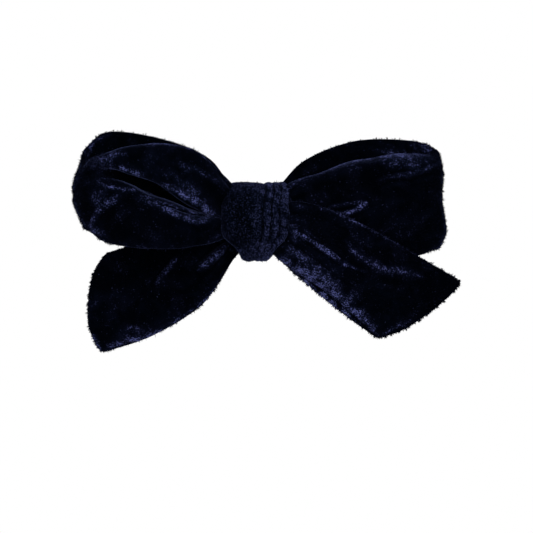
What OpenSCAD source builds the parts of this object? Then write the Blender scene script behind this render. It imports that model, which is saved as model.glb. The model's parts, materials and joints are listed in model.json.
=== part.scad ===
// Hand-tied velvet hair bow on a sprung jaw clip.
// The bow faces -Y and stands upright in +Z. The clip lies behind the knot, along X,
// and the origin is the middle of the face that its jaws close on.

/* [Velvet] */
// Thickness of a flattened velvet sleeve
velvet_t = 1.6; // [1:0.1:2.2]
// How far the left loop reaches from the knot's middle
left_reach = 59; // [52:1:66]
// How far the right loop reaches from the knot's middle
right_reach = 62; // [54:1:70]
// How far the loops stand forward of the hair side
loop_depth = 23; // [19:1:26]

/* [Knot] */
// Height of the knot, top to bottom
knot_h = 24.6; // [22:0.2:28]
// Width of the knot across its front
knot_w = 23.4; // [20:0.2:26]
// Depth of the knot, front to back
knot_d = 16.4; // [15:0.2:20]
// Thickness of the pleated band that makes the knot
wrap_t = 2; // [1.4:0.1:2.4]

/* [Clip] */
// Distance from the clip's tip to its thumb end
clip_l = 58; // [50:1:66]
// Width of the fixed jaw
jaw_w = 9; // [8:0.5:12]
// Thickness of the clip's sheet steel
steel_t = 0.8; // [0.6:0.1:1]
// Radius of the hinge pin
pin_r = 0.8; // [0.6:0.1:1]
// Number of teeth along each edge of the moving jaw
teeth = 7; // [5:1:9]
// Diameter of the spring's wire
wire_d = 0.7; // [0.5:0.1:0.8]

/* [Trim] */
// Thickness of the ribbon that lines the fixed jaw
lining_t = 0.4; // [0.3:0.1:0.6]
// Thickness of the non-slip strip
grip_t = 0.8; // [0.6:0.1:1]
// Thickness of the felt pad
felt_t = 1.2; // [1:0.1:1.6]
// Number of turns of the gathering thread
thread_turns = 5; // [3:1:6]
// Diameter of the thread
thread_d = 0.5; // [0.4:0.1:0.6]

/* [Hidden] */

navy = [0.02, 0.025, 0.06];
running = 0.05;     // radial clearance of the moving jaw on its pin
hair = 0.05;        // gap that the closed teeth leave over the grip strip
fine = 32;

// Depths, from the closing face towards the front of the bow.
lining_in = -grip_t;
plate_in = lining_in - lining_t;
plate_out = plate_in - steel_t;
lining_out = plate_out - lining_t;
felt_out = lining_out - felt_t;
knot_y = felt_out - knot_d / 2;
knot_z = -0.8;
knot_x = -0.4;

// The clip's own places along X and Y.
tip_x = -clip_l / 2 - 1;
thumb_x = tip_x + clip_l;
pivot = [9, 2];
arch_y = 5.2;       // inner face of the moving jaw over the hair gap
toe_y = 1.4;        // inner face of the moving jaw above its teeth
thumb_y = 11.4;     // inner face of the moving jaw at the thumb end
flange_out = jaw_w / 2 - steel_t - 0.2;
flange_in = flange_out - steel_t;
coil_r = 1.5;
coil_turns = 5;
coil_half = 2;

// ---------------------------------------------------------------- splines and sheets

// One span of a Catmull-Rom spline.
function span(a, b, c, d, t) =
    0.5 * (2 * b + (c - a) * t + (2 * a - 5 * b + 4 * c - d) * t * t
           + (3 * b - a - 3 * c + d) * t * t * t);

// The point at share u of an open spline.
function on_open(pts, u) =
    let (n = len(pts) - 1, f = min(u * n, n - 0.0001), i = floor(f))
    span(pts[max(i - 1, 0)], pts[i], pts[i + 1], pts[min(i + 2, n)], f - i);

// The point at share u of a closed spline.
function on_ring(pts, u) =
    let (n = len(pts), f = u * n, i = floor(f))
    span(pts[(i + n - 1) % n], pts[i % n], pts[(i + 1) % n], pts[(i + 2) % n], f - i);

// A grid of points lofted through rails: across rows, along columns.
function loft(rails, across, along, ring) =
    let (lines = [for (r = rails)
             [for (j = [0 : along - 1])
                 ring ? on_ring(r, j / along) : on_open(r, j / (along - 1))]])
    [for (i = [0 : across - 1])
        [for (j = [0 : along - 1])
            on_open([for (line = lines) line[j]], i / (across - 1))]];

function unit(v) = v / max(norm(v), 0.000001);

// The surface normal at one place of a grid.
function normal_at(g, i, j, ring) =
    let (m = len(g) - 1, n = len(g[0]),
         before = ring ? (j + n - 1) % n : max(j - 1, 0),
         after = ring ? (j + 1) % n : min(j + 1, n - 1))
    unit(cross(g[min(i + 1, m)][j] - g[max(i - 1, 0)][j], g[i][after] - g[i][before]));

// One side of a sheet, half its thickness off the grid.
function skin(g, off, ring) =
    [for (i = [0 : len(g) - 1]) for (j = [0 : len(g[0]) - 1])
        g[i][j] + off * normal_at(g, i, j, ring)];

// Two triangles for each four corners, turned over when flip is true.
function quad(a, b, c, d, flip) =
    flip ? [[a, c, b], [a, d, c]] : [[a, b, c], [a, c, d]];

// A closed solid of a sheet of thickness t whose middle surface is the grid g.
module sheet(g, t, ring = false) {
    m = len(g);
    n = len(g[0]);
    last = ring ? n - 1 : n - 2;
    top = m * n;
    points = concat(skin(g, t / 2, ring), skin(g, -t / 2, ring));
    faces = concat(
        [for (i = [0 : m - 2]) for (j = [0 : last]) for (f =
            quad(i * n + j, i * n + (j + 1) % n, (i + 1) * n + (j + 1) % n, (i + 1) * n + j, false)) f],
        [for (i = [0 : m - 2]) for (j = [0 : last]) for (f =
            quad(top + i * n + j, top + i * n + (j + 1) % n,
                 top + (i + 1) * n + (j + 1) % n, top + (i + 1) * n + j, true)) f],
        [for (j = [0 : last]) for (f =
            quad(j, top + j, top + (j + 1) % n, (j + 1) % n, false)) f],
        [for (j = [0 : last]) for (f = let (r = (m - 1) * n)
            quad(r + j, top + r + j, top + r + (j + 1) % n, r + (j + 1) % n, true)) f],
        ring ? [] : [for (i = [0 : m - 2]) for (f =
            quad(i * n, top + i * n, top + (i + 1) * n, (i + 1) * n, true)) f],
        ring ? [] : [for (i = [0 : m - 2]) for (f = let (e = n - 1)
            quad(i * n + e, top + i * n + e, top + (i + 1) * n + e, (i + 1) * n + e, false)) f]);
    polyhedron(points = points, faces = faces, convexity = 8);
}

// A round tube along a path that never runs along ref: closed on itself when ring is true.
module tube(path, r, ref, sides = 8, ring = false) {
    n = len(path);
    points = [for (j = [0 : n - 1])
        let (before = ring ? path[(j + n - 1) % n] : path[max(j - 1, 0)],
             after = ring ? path[(j + 1) % n] : path[min(j + 1, n - 1)],
             along = unit(after - before),
             side = unit(cross(along, ref)),
             up = cross(side, along))
        for (k = [0 : sides - 1])
            path[j] + r * (cos(360 * k / sides) * side + sin(360 * k / sides) * up)];
    last = ring ? n - 1 : n - 2;
    faces = concat(
        [for (j = [0 : last]) for (k = [0 : sides - 1]) for (f =
            quad(j * sides + k, j * sides + (k + 1) % sides,
                 ((j + 1) % n) * sides + (k + 1) % sides, ((j + 1) % n) * sides + k, true)) f],
        ring ? [] : [[for (k = [0 : sides - 1]) k]],
        ring ? [] : [[for (k = [0 : sides - 1]) n * sides - 1 - k]]);
    polyhedron(points = points, faces = faces, convexity = 4);
}

// ---------------------------------------------------------------- velvet

// Each pleat line of a loop: its share of the reach, its shares of the depth in the middle and near
// the fold, then its height at the knot, shoulder, middle, outer part and fold, and back at the
// outer part, middle, shoulder and knot.
left_pleats = [
    [0.925, 0.62, 0.62, [ 8.4, 17.6, 21.6, 20.4, 21.4, 28.0, 25.4, 19.8,  8.6]],
    [0.965, 0.86, 0.84, [ 7.6, 20.2, 23.4, 19.2, 13.4, 20.5, 20.5, 16.0,  7.4]],
    [0.980, 0.99, 0.93, [ 5.4, 14.6, 19.6, 17.6, 10.2, 15.0, 15.6, 12.2,  5.8]],
    [0.980, 0.97, 0.92, [ 2.8,  5.6, 13.4, 15.4,  7.9, 11.0, 11.0,  8.4,  4.0]],
    [0.975, 0.52, 0.78, [ 1.7,  3.0,  9.2, 13.2,  6.2,  7.4,  7.0,  5.2,  2.4]],
    [0.970, 0.84, 0.88, [ 0.4,  0.2,  5.6, 10.6,  4.4,  4.0,  3.4,  2.4,  1.0]],
    [0.950, 0.97, 0.90, [-2.0, -4.6, -2.6,  2.2,  1.2,  0.4,  0.0, -0.2, -0.8]],
    [0.925, 0.80, 0.76, [-4.4, -8.4, -9.8, -7.9, -3.4, -4.0, -4.0, -3.4, -3.0]]];
right_pleats = [
    [0.945, 0.56, 0.56, [ 8.4, 13.2, 18.4, 20.9, 20.4, 24.6, 24.2, 18.4,  8.6]],
    [0.965, 0.74, 0.70, [ 7.0, 11.6, 16.4, 18.6, 17.0, 19.5, 19.5, 14.6,  7.2]],
    [0.975, 0.70, 0.68, [ 5.0,  8.4, 12.4, 14.2, 12.6, 14.5, 14.6, 11.0,  5.6]],
    [0.975, 0.66, 0.66, [ 3.0,  4.8,  8.0,  9.4,  8.4, 10.0, 10.0,  7.6,  4.0]],
    [0.975, 0.64, 0.64, [ 1.6,  1.6,  3.8,  4.6,  4.2,  5.4,  5.6,  4.4,  2.4]],
    [0.975, 0.60, 0.62, [ 0.2, -1.8, -1.0, -0.6, -0.2,  1.0,  1.2,  1.4,  1.0]],
    [0.990, 0.54, 0.58, [-2.0, -5.4, -6.2, -6.4, -5.0, -4.0, -3.6, -1.6, -0.8]],
    [0.950, 0.46, 0.52, [-4.4, -8.2,-11.4,-12.0, -9.4, -9.4, -8.0, -5.0, -3.0]]];

// Shares of the reach at the nine places that a pleat line names.
reach_shares = [0.10, 0.30, 0.56, 0.86, 1, 0.86, 0.56, 0.28, 0.11];
hair_side = -6.6;   // middle of the loops' back layer
front_in = -3.4;    // where the depth of the loops' front layer starts, in the middle
outer_in = -2.2;    // and near the fold

// A pleat line from the knot, round its loop and back to the knot.
function pleat_line(pleat, reach, side) =
    let (r = reach * pleat[0],
         front = front_in - loop_depth * pleat[1],
         outer = outer_in - loop_depth * pleat[2],
         z = pleat[3],
         root = bundle_depth(z[0]),
         puff = side < 0 ? -1 : 0.6,
         depth = [knot_y - root, (front + knot_y - root) / 2 + puff, front, outer,
                  (outer + hair_side) / 2, hair_side + 0.4, hair_side,
                  (hair_side + knot_y + root) / 2 + 0.6, knot_y + root])
    [for (k = [0 : 8]) [side * r * reach_shares[k], depth[k], z[k]]];

// Half the depth of the gathered bundle at height z.
function bundle_depth(z) = 1.2 + 2.2 * sqrt(max(0, 1 - pow((z - 2) / 8.4, 2)));

// The left loop's line runs out from the front and back; the right one's runs the other way.
function reversed(list) = [for (k = [len(list) - 1 : -1 : 0]) list[k]];

loop_rails = [for (i = [0 : len(left_pleats) - 1])
    concat(pleat_line(left_pleats[i], left_reach, -1),
           reversed(pleat_line(right_pleats[i], right_reach, 1)))];

// The band that makes both loops: one closed ring of velvet, gathered at the knot.
module loop_band() {
    color(navy) sheet(loft(loop_rails, 22, 72, true), velvet_t, true);
}

// Lines along the tail strip, from its left end, behind and under the loops' bundle, to its
// right end. The edge that is on top at the left is at the bottom on the right.
tail_rails = [
    [[-48.5, -4.4, -11.4], [-37, -4.2, -8], [-22, -4.5, -5.5], [-9.5, -6.6, -3.6],
     [0, -7.8, -8.2], [6, -15.2, -10.5], [18, -18.5, -19.7], [30, -19.2, -29], [41.4, -17, -37.6]],
    [[-52.6, -4.4, -18], [-38, -5.4, -15], [-22, -6.5, -11], [-9, -7, -5.6],
     [0, -9.4, -8.6], [7.4, -16.4, -6.6], [22, -21.5, -13.6], [36, -21, -21.5], [47.6, -18, -35.2]],
    [[-53.6, -5, -26.4], [-37, -7, -23], [-20, -8.6, -16.6], [-8.4, -7.6, -7.6],
     [0, -11, -8.8], [8.6, -17, -2.8], [24, -20.6, -8], [40, -20.4, -15.5], [54.2, -17.6, -31.2]],
    [[-53.4, -5.4, -35], [-35, -7.2, -30.6], [-18, -8.6, -21.6], [-7.4, -8.2, -9.6],
     [0, -12.8, -8.6], [9.6, -17.2, 0.8], [25, -21.6, -3], [43, -21, -11], [60.8, -16.4, -26]],
    [[-49.6, -5, -41.8], [-33, -6.4, -37.4], [-16, -7.6, -26.4], [-6, -8.6, -11.4],
     [0, -14.2, -8.2], [10.4, -17, 4.6], [26.6, -20.6, 1.8], [46, -20, -8.4], [66.2, -15.4, -20.6]]];

// One strip of velvet whose free ends are the two tails.
module tail_strip() {
    color(navy) sheet(loft(tail_rails, 17, 61, false), velvet_t);
}

// The knot's outline at angle a: 0 is its front and 90 its top.
function knot_ring(a, grow) = [
    knot_y - (knot_d / 2 - wrap_t / 2 + grow) * cos(a),
    knot_z + (knot_h / 2 - wrap_t / 2 + grow * 0.5) * sin(a)];

// The band narrows at its back, and under the knot, where both edges run in to a rounded point.
function narrowed(a) = 1 - 0.45 * (1 - cos(a)) / 2;
function under(a) = let (s = min(1, max(0, (-sin(a) - 0.3) / 0.6))) s * s * (3 - 2 * s);
function knot_left(a) = knot_x + knot_w * (-0.5 * narrowed(a) + 0.27 * under(a));
function knot_right(a) = knot_x + knot_w * (0.5 * narrowed(a) - 0.20 * under(a));

// Bulge of the band across its width: a broad lobe, then three narrow pleats.
knot_profile = [-1.5, -0.3, 0.3, 0.5, 0.5, 0.4, 0.1, 0.4, 0, 0.3, -0.2, 0.1, -1.5];

knot_rails = [for (i = [0 : len(knot_profile) - 1])
    let (s = i / (len(knot_profile) - 1))
    [for (a = [0 : 15 : 345])
        let (p = knot_ring(a, knot_profile[i]))
        [knot_left(a) + s * (knot_right(a) - knot_left(a)), p[0], p[1]]]];

// The pleated band round the middle, closed at the back.
module knot_wrap() {
    color(navy) sheet(loft(knot_rails, 25, 48, true), wrap_t, true);
}

// ---------------------------------------------------------------- thread

// Turns of thread that bind the gathered velvet, inside the knot.
module gather_thread() {
    pitch = thread_d * 1.3;
    color("midnightblue") for (k = [0 : thread_turns - 1])
        tube([for (a = [0 : 15 : 345])
                 [(k - (thread_turns - 1) / 2) * pitch,
                  knot_y - 5.4 * cos(a), knot_z + 9.9 * sin(a)]],
             thread_d / 2, [1, 0, 0], 8, true);
}

// Slip stitches that close the knot's band at the back, above and below the felt.
module wrap_stitches() {
    color("midnightblue") for (side = [-1, 1]) for (k = [0 : 1])
        let (a = 180 + side * (40 + 11 * k), p = knot_ring(a, wrap_t / 2 + thread_d / 2))
        translate([0, p[0], p[1]])
            rotate([0, 90, 0])
                cylinder(h = 2.2, r = thread_d / 2, center = true, $fn = fine);
}

// ---------------------------------------------------------------- clip

// An upright plate along X with round ends, its thickness from y0 to y0 + t.
module long_plate(x0, x1, w, y0, t) {
    translate([0, y0 + t, 0]) rotate([90, 0, 0]) linear_extrude(t) {
        translate([x0 + w / 2, -w / 2]) square([x1 - x0 - w, w]);
        for (x = [x0 + w / 2, x1 - w / 2]) translate([x, 0]) circle(d = w, $fn = fine);
    }
}

// Felt between the knot's back and the lined jaw.
module felt_pad() {
    color([0.03, 0.03, 0.07]) long_plate(-15, 15, 13, felt_out, felt_t);
}

// Ribbon glued round the fixed jaw: over its front, and turned in at both ends.
module jaw_lining() {
    w = jaw_w + 0.6;
    color([0.03, 0.035, 0.08]) {
        difference() {
            long_plate(tip_x - lining_t, thumb_x + lining_t, w, lining_out, lining_t * 2 + steel_t);
            long_plate(tip_x, thumb_x, jaw_w, plate_out, steel_t);
            translate([pivot[0] - 4.5, plate_in - steel_t, -w]) cube([9, 2 * steel_t, 2 * w]);
        }
    }
}

// Ribbed non-slip strip on the inside of the fixed jaw.
module grip_strip() {
    rib = 1.6;
    ribs = 14;
    x0 = tip_x + 3;
    color("white") translate([0, 0, -jaw_w / 2 + 0.6]) linear_extrude(jaw_w - 1.2)
        polygon(concat([[x0 + ribs * rib, lining_in], [x0, lining_in]],
            [for (k = [0 : ribs - 1]) for (p = [[0, -0.35], [0.3, 0], [rib - 0.3, 0], [rib, -0.35]])
                [x0 + k * rib + p[0], p[1]]]));
}

// The jaw under the bow: a flat strip with an ear each side of the hinge.
module fixed_jaw() {
    ear_r = 2.4;
    color("silver") difference() {
        union() {
            long_plate(tip_x, thumb_x, jaw_w, plate_out, steel_t);
            for (side = [-1, 1])
                translate([0, 0, side * (jaw_w - steel_t) / 2 - steel_t / 2]) {
                    translate([pivot[0], pivot[1], 0]) cylinder(h = steel_t, r = ear_r, $fn = fine);
                    translate([pivot[0] - ear_r, plate_out, 0])
                        cube([2 * ear_r, pivot[1] - plate_out, steel_t]);
                }
        }
        translate([pivot[0], pivot[1], -jaw_w]) cylinder(h = 2 * jaw_w, r = pin_r, $fn = fine);
    }
}

// The inner line of the moving jaw, from its tip over the arch to the thumb end.
jaw_line = [[tip_x + 1, toe_y], [-18, toe_y + 0.4], [-13, arch_y], [13, arch_y],
            [thumb_x - 2, thumb_y], [thumb_x, thumb_y + 0.2]];

// The jaw against the head: an arched strip with toothed edges and ears on the pin.
module moving_jaw() {
    ear_r = 2.3;
    tooth_x0 = tip_x + 1;
    tooth_l = (-18 - tooth_x0) / teeth;
    color("silver") difference() {
        union() {
            translate([0, 0, -flange_out]) linear_extrude(2 * flange_out)
                polygon(concat(jaw_line, [for (p = reversed(jaw_line)) p + [0, steel_t]]));
            for (z = [flange_in, -flange_out]) translate([0, 0, z]) {
                linear_extrude(steel_t) polygon(concat(
                    [[-18, toe_y + 0.5], [tooth_x0, toe_y + 0.1]],
                    [for (k = [0 : teeth - 1]) for (p = [[0, 0.9], [0.5, hair]])
                        [tooth_x0 + (k + p[0]) * tooth_l, p[1]]],
                    [[-18, 0.9]]));
                translate([pivot[0] - ear_r, pivot[1], 0])
                    cube([2 * ear_r, arch_y - pivot[1] + 0.3, steel_t]);
                translate([pivot[0], pivot[1], 0]) cylinder(h = steel_t, r = ear_r, $fn = fine);
            }
        }
        translate([pivot[0], pivot[1], -jaw_w])
            cylinder(h = 2 * jaw_w, r = pin_r + running, $fn = fine);
    }
}

// The rivet that both jaws hang on.
module hinge_pin() {
    color("gainsboro") translate([pivot[0], pivot[1], 0]) {
        cylinder(h = jaw_w, r = pin_r, center = true, $fn = fine);
        for (side = [-1, 1]) translate([0, 0, side * (jaw_w / 2 + 0.25)])
            cylinder(h = 0.5, r = pin_r + 0.6, center = true, $fn = fine);
    }
}

// The spring's wire: a leg on the fixed jaw, the coil round the pin, a leg on the moving jaw.
coil_steps = 14;
spring_path = concat(
    [[pivot[0] + 11, -0.4, -coil_half], [pivot[0] + 5, 0.1, -coil_half]],
    [for (k = [0 : coil_turns * coil_steps + coil_steps / 2])
        let (a = -90 - 360 * k / coil_steps)
        [pivot[0] + coil_r * cos(a), pivot[1] + coil_r * sin(a),
         -coil_half + 2 * coil_half * k / ((coil_turns + 0.5) * coil_steps)]],
    [[pivot[0] + 5, 5.0, coil_half], [pivot[0] + 10, 6.9, coil_half]]);

module torsion_spring() {
    color("darkgray") tube(spring_path, wire_d / 2, [0, 0, 1]);
}

loop_band();
tail_strip();
knot_wrap();
gather_thread();
wrap_stitches();
felt_pad();
jaw_lining();
grip_strip();
fixed_jaw();
moving_jaw();
hinge_pin();
torsion_spring();
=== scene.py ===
"""Looks of the velvet hair bow: cloth, pile, thread and clip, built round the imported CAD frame.

The bow faces -Y and stands upright in +Z. Lengths in the tables are millimetres, as in the CAD
source, and become metres where a mesh is made.
"""

import json
import math

import bmesh
import bpy
import numpy as np
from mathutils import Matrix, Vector, noise


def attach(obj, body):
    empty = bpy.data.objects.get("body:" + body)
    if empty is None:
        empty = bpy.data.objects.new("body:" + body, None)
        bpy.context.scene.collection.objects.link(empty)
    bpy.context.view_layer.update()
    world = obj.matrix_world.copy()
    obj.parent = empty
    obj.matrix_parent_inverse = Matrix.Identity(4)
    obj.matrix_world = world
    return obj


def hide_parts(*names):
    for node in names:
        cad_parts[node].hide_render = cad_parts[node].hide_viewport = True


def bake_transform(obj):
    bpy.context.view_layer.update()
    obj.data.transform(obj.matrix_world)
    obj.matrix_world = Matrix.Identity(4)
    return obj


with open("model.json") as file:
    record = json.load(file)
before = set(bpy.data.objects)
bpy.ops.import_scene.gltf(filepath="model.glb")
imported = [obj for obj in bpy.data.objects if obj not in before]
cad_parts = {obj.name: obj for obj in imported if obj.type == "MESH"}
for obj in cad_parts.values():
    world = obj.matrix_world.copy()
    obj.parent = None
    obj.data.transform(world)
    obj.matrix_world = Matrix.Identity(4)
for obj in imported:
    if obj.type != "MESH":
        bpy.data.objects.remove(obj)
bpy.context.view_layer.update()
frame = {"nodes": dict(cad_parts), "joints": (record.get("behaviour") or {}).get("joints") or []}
nodes = frame["nodes"]

MM = 0.001
rng = np.random.default_rng(7)

# ---------------------------------------------------------------- sizes, in millimetres

VELVET_T = 1.6
WRAP_T = 2.0
LEFT_REACH = 58.4
RIGHT_REACH = 62
LOOP_DEPTH = 23
HAIR_SIDE = -6.6
FRONT_IN = -3.4
OUTER_IN = -2.2

KNOT_W, KNOT_D, KNOT_H = 23.4, 16.4, 24.6
KNOT_X, KNOT_Y, KNOT_Z = -0.4, -11.8, -0.8
PLEATS_AT, PLEAT_W = 0.60, 0.127        # where the knot's three pleats begin and how wide each is, as shares

joint = frame["joints"][0]
PIVOT = np.array(joint["pos_m"]) / MM

# ---------------------------------------------------------------- splines and sheets


def catmull(a, b, c, d, t):
    """One span of a Catmull-Rom spline, from b to c."""
    return 0.5 * (2 * b + (c - a) * t + (2 * a - 5 * b + 4 * c - d) * t**2
                  + (3 * b - a - 3 * c + d) * t**3)


def spline(points, shares, ring=False):
    """Points at these shares of a Catmull-Rom spline along the first axis of points."""
    points = np.asarray(points, float)
    n = len(points)
    f = np.asarray(shares, float) * (n if ring else n - 1)
    i = np.floor(f).astype(int) if ring else np.clip(np.floor(f).astype(int), 0, n - 2)
    t = (f - i).reshape((-1,) + (1,) * (points.ndim - 1))
    near = (points[k % n if ring else np.clip(k, 0, n - 1)] for k in (i - 1, i, i + 1, i + 2))
    return catmull(*near, t)


def loft(rails, across, along, ring):
    """A grid of points through the rails: rows at the shares across, columns at the shares along.

    Either may be one share for each row or column, or a whole grid of shares.
    """
    if np.ndim(across) == 1:
        across, along = np.meshgrid(across, along, indexing="ij")
    lines = spline(np.array(rails, float).transpose(1, 0, 2), along.ravel(), ring)
    last = lines.shape[1] - 1
    f = across.ravel() * last
    i = np.clip(np.floor(f).astype(int), 0, last - 1)
    each = np.arange(len(i))
    corners = np.stack([lines[each, np.clip(i + k, 0, last)] for k in (-1, 0, 1, 2)])
    return catmull(*corners, (f - i)[:, None]).reshape(*across.shape, 3)


def smooth_step(x):
    x = np.clip(x, 0, 1)
    return x * x * (3 - 2 * x)


def unit(v):
    return v / np.maximum(np.linalg.norm(v, axis=-1, keepdims=True), 1e-9)


def grid_normals(grid, ring):
    """The normal at each point of a grid."""
    down = np.gradient(grid, axis=0)
    if ring:
        right = np.roll(grid, -1, axis=1) - np.roll(grid, 1, axis=1)
    else:
        right = np.gradient(grid, axis=1)
    return unit(np.cross(down, right))


def edge_distance(grid):
    """How far each point of a grid is from its first and last row, along its column."""
    step = np.linalg.norm(np.diff(grid, axis=0), axis=2)
    gone = np.vstack([np.zeros(grid.shape[1]), np.cumsum(step, axis=0)])
    return np.minimum(gone, gone[-1] - gone)


def end_distance(grid):
    """How far each point of a grid is from its first and last column, along its row."""
    return edge_distance(grid.transpose(1, 0, 2)).T


def rounded(distance, half):
    """Half thickness of a sheet at a distance from its edge: a half round, then flat."""
    inside = np.clip(1 - distance / half, 0, 1)
    return half * np.sqrt(np.maximum(1 - inside**2, 0))


def rows_for(count, edge_rows=(0, 0.004, 0.010, 0.017, 0.024, 0.031, 0.038, 0.046)):
    """Shares across a sheet, closer together along both of its edges."""
    middle = np.linspace(0.055, 0.945, count)
    return np.concatenate([edge_rows, middle, 1 - np.array(edge_rows)[::-1]])


def round_corners(across, along, share_across, share_along):
    """Grids of shares whose four corners are pulled in to a round."""
    across, along = np.meshgrid(across, along, indexing="ij")
    p = np.minimum(across, 1 - across) / share_across
    q = np.minimum(along, 1 - along) / share_along
    inside = (p < 1) & (q < 1)
    x, y = np.where(inside, 1 - p, 0), np.where(inside, 1 - q, 0)
    pull = np.maximum(x, y) / np.maximum(np.hypot(x, y), 1e-9)
    p2, q2 = np.where(inside, 1 - x * pull, p), np.where(inside, 1 - y * pull, q)
    across = np.where(inside, np.where(across < 0.5, p2 * share_across, 1 - p2 * share_across), across)
    along = np.where(inside, np.where(along < 0.5, q2 * share_along, 1 - q2 * share_along), along)
    return across, along


def mesh_object(name, points, faces, material=None, smooth=True):
    """A mesh piece from points in millimetres."""
    mesh = bpy.data.meshes.new(name)
    mesh.from_pydata((np.asarray(points) * MM).tolist(), [], [list(map(int, f)) for f in faces])
    mesh.validate()
    mesh.polygons.foreach_set("use_smooth", [smooth] * len(mesh.polygons))
    piece = bpy.data.objects.new(name, mesh)
    bpy.context.scene.collection.objects.link(piece)
    if material:
        mesh.materials.append(material)
    return piece


def sheet_object(name, grid, half, ring, material):
    """A closed cloth piece: the grid's front and back skins, joined round every edge."""
    m, n = grid.shape[:2]
    normal = grid_normals(grid, ring)
    front = grid + normal * half[..., None]
    back = grid - normal * half[..., None]
    loop = np.concatenate([front, back[-2:0:-1]])
    k = len(loop)
    index = np.arange(k * n).reshape(k, n)
    nexts = np.roll(index, -1, axis=0)
    if ring:
        a, b = index, np.roll(index, -1, axis=1)
        c, d = np.roll(nexts, -1, axis=1), nexts
    else:
        a, b, c, d = index[:, :-1], index[:, 1:], nexts[:, 1:], nexts[:, :-1]
    faces = np.stack([a, b, c, d], axis=-1).reshape(-1, 4)
    if not ring:
        for column, flip in ((0, False), (n - 1, True)):
            top, low = index[:m, column], np.concatenate([[index[0, column]], index[:m - 1:-1, column],
                                                          [index[m - 1, column]]])
            cap = [[top[i], top[i + 1], low[i + 1], low[i]] for i in range(1, m - 2)]
            cap += [[top[0], top[1], low[1]], [top[m - 2], top[m - 1], low[m - 2]]]
            faces = list(faces) + [q[::-1] if flip else q for q in cap]
    piece = mesh_object(name, loop.reshape(-1, 3), faces, material)
    recalculate(piece)
    return piece


def recalculate(piece):
    """Turns every face of a closed mesh outwards."""
    work = bmesh.new()
    work.from_mesh(piece.data)
    bmesh.ops.recalc_face_normals(work, faces=work.faces)
    if work.calc_volume(signed=True) < 0:
        bmesh.ops.reverse_faces(work, faces=work.faces)
    work.to_mesh(piece.data)
    work.free()


# ---------------------------------------------------------------- folds


def measured(grid, path):
    """Each point's distance from a path of (x, z) points, above it or below, and its taper to both ends."""
    share = np.linspace(0, 1, 60)
    line = spline(np.array(path, float), share)
    gap = grid[..., [0, 2]].reshape(-1, 1, 2) - line[None]
    distance = np.linalg.norm(gap, axis=2)
    near = distance.argmin(axis=1)
    ahead = unit(np.gradient(line, axis=0))[near]
    off = gap[np.arange(len(gap)), near]
    above = (off[:, 1] * ahead[:, 0] - off[:, 0] * ahead[:, 1]) * np.sign(ahead[:, 0] + 1e-6) > 0
    taper = np.sqrt(np.clip(np.sin(math.pi * share[near]), 0, 1))
    shape = grid.shape[:2]
    return distance.min(axis=1).reshape(shape), above.reshape(shape), taper.reshape(shape)


def stroke(grid, normal, mask, path, width, height):
    """Raises (or sinks, if height is below 0) a ridge along a path of (x, z) points."""
    distance, _, taper = measured(grid, path)
    lift = height * np.exp(-(distance / width) ** 2) * taper * mask
    return grid + (normal * -np.sign(normal[..., 1:2])) * lift[..., None]


def painted_band(crush_and_painted_light, grid, mask, path, over, under, strength):
    """Paints a band along a path of (x, z) points into the painted-light value: a painted highlight, or painted
    shade where strength is below 0. Over and under are its reach each side, in mm.
    """
    distance, above, taper = measured(grid, path)
    reach = np.where(above, over, under) * (0.35 + 0.65 * taper)
    near = distance < 3 * max(over, under)
    mottle = np.zeros(len(near.ravel()))
    mottle[near.ravel()] = [0.85 * noise.noise(Vector(p) / 2.4) + 0.3 * noise.noise(Vector(p) / 0.9)
                            for p in grid[near]]
    uneven = np.clip(0.85 + 1.4 * mottle.reshape(near.shape), 0.1, 1.45)
    band = 0.75 * np.exp(-(distance / (0.6 * reach)) ** 1.5) + 0.25 * np.exp(-(distance / (1.6 * reach)) ** 1.5)
    band = band * taper * mask
    return crush_and_painted_light + strength * band * (uneven if strength > 0 else 1)


def crumple(grid, normal, size, height, seed):
    """Uneven cloth: smooth noise of that size and height along the normal."""
    shift = Vector((seed * 7.3, seed * 3.1, seed * 5.7))
    lift = [noise.noise(Vector(p) / size + shift) for p in grid.reshape(-1, 3)]
    return grid + normal * (height * np.array(lift).reshape(grid.shape[:2])[..., None])


def gathers(grid, normal, folds, reach, height, phase):
    """Small folds that run out of the knot and fade."""
    v = np.linspace(0, 1, grid.shape[0])[:, None]
    out = np.abs(grid[..., 0])
    fade = np.exp(-np.clip(out - KNOT_W / 2, 0, None) / reach)
    wave = np.sin(2 * math.pi * folds * v + phase + np.sin(9 * v + phase))
    return grid + normal * (height * fade * wave)[..., None]


def curl(grid, mask, row, width, depth):
    """Bends the cloth's edge at that row backward over a width."""
    step = np.linalg.norm(np.diff(grid, axis=0), axis=2)
    gone = np.vstack([np.zeros(grid.shape[1]), np.cumsum(step, axis=0)])
    distance = gone if row == 0 else gone[-1] - gone
    lift = depth * np.clip(1 - distance / width, 0, 1) ** 2 * mask
    return grid + lift[..., None] * np.array([0, 1, 0])


def ridges(grid, normal, ring, reach):
    """How far each point stands out from the cloth round it, either way: 0 flat, 1 a sharp fold."""
    pads = [(reach, reach), (0, 0), (0, 0)], [(0, 0), (reach, reach), (0, 0)]
    wide = np.pad(grid, pads[0], mode="edge")
    high = np.pad(grid, pads[1], mode="wrap" if ring else "edge")
    m, n = grid.shape[:2]
    across = (wide[:m] + wide[2 * reach:]) / 2 - grid
    along = (high[:, :n] + high[:, 2 * reach:]) / 2 - grid
    toward = normal * -np.sign(normal[..., 1:2])
    bend = -((across + along) * toward).sum(axis=2)
    size = np.linalg.norm(wide[2 * reach:] - wide[:m], axis=2) / 2
    return np.clip(bend / np.maximum(size, 0.3), 0, 1)


# ---------------------------------------------------------------- materials


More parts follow.
